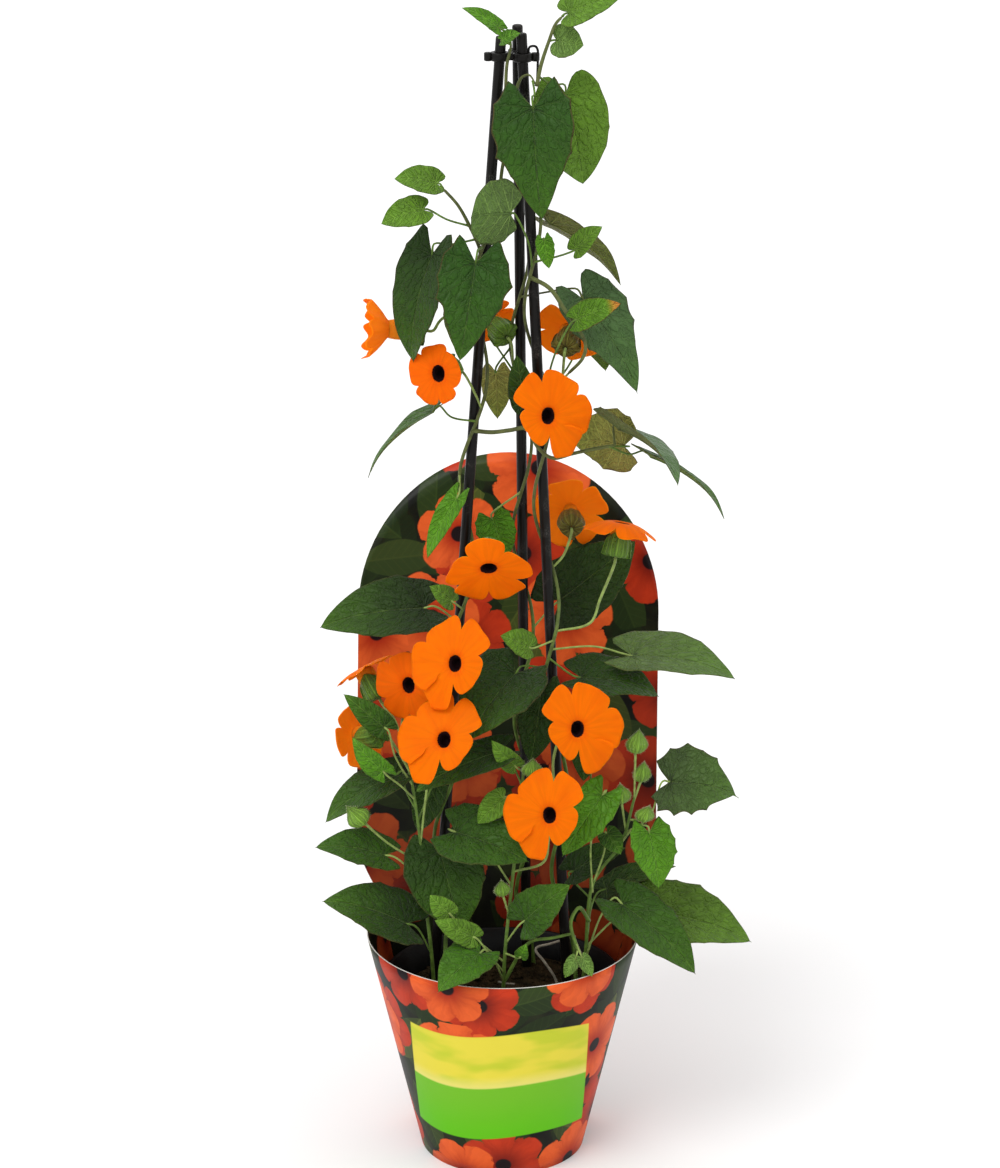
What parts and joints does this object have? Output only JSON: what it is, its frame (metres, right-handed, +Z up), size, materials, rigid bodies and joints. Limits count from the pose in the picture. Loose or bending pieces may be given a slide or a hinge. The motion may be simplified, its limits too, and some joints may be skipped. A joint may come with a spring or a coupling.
{
  "type": "potted climbing plant",
  "caption": "Black-eyed Susan vine on canes in a nursery pot, inside a printed card sleeve with a tall arched back panel.",
  "frame": {"origin": "middle of the inner pot's underside, on the surface the pot stands on", "axes": "+Z up along the pot's axis, -Y out of the round front of the sleeve, +Y towards the tall back panel"},
  "size_m": [0.2391, 0.2137, 0.6606],
  "materials": {
    "foliage": "matte",
    "petals": "matte",
    "bloom_eyes": "matte",
    "cane_plastic": "satin",
    "pot_plastic": "satin",
    "sleeve_card": "gloss",
    "soil": "matte"
  },
  "bodies": {
    "root": {"cane_left": "cane_plastic", "cane_right": "cane_plastic", "cane_rear": "cane_plastic", "cane_clip": "cane_plastic", "inner_pot": "pot_plastic", "sleeve": "sleeve_card", "soil": "soil", "vine_left": "foliage", "vine_right": "foliage", "vine_rear": "foliage", "shoot_left": "foliage", "shoot_front": "foliage", "shoot_right": "foliage", "bloom_01": "petals", "bloom_02": "petals", "bloom_03": "petals", "bloom_04": "petals", "bloom_05": "petals", "bloom_06": "petals", "bloom_07": "petals", "bloom_08": "petals", "bloom_09": "petals", "bloom_10": "petals", "bloom_11": "petals", "bloom_12": "petals", "bloom_13": "petals", "bloom_14": "petals", "bloom_15": "petals", "bloom_01_eye": "bloom_eyes", "bloom_02_eye": "bloom_eyes", "bloom_03_eye": "bloom_eyes", "bloom_04_eye": "bloom_eyes", "bloom_05_eye": "bloom_eyes", "bloom_06_eye": "bloom_eyes", "bloom_07_eye": "bloom_eyes", "bloom_08_eye": "bloom_eyes", "bloom_09_eye": "bloom_eyes", "bloom_10_eye": "bloom_eyes", "bloom_11_eye": "bloom_eyes", "bloom_12_eye": "bloom_eyes", "bloom_13_eye": "bloom_eyes", "bloom_14_eye": "bloom_eyes", "bloom_15_eye": "bloom_eyes"}
  },
  "joints": []
}
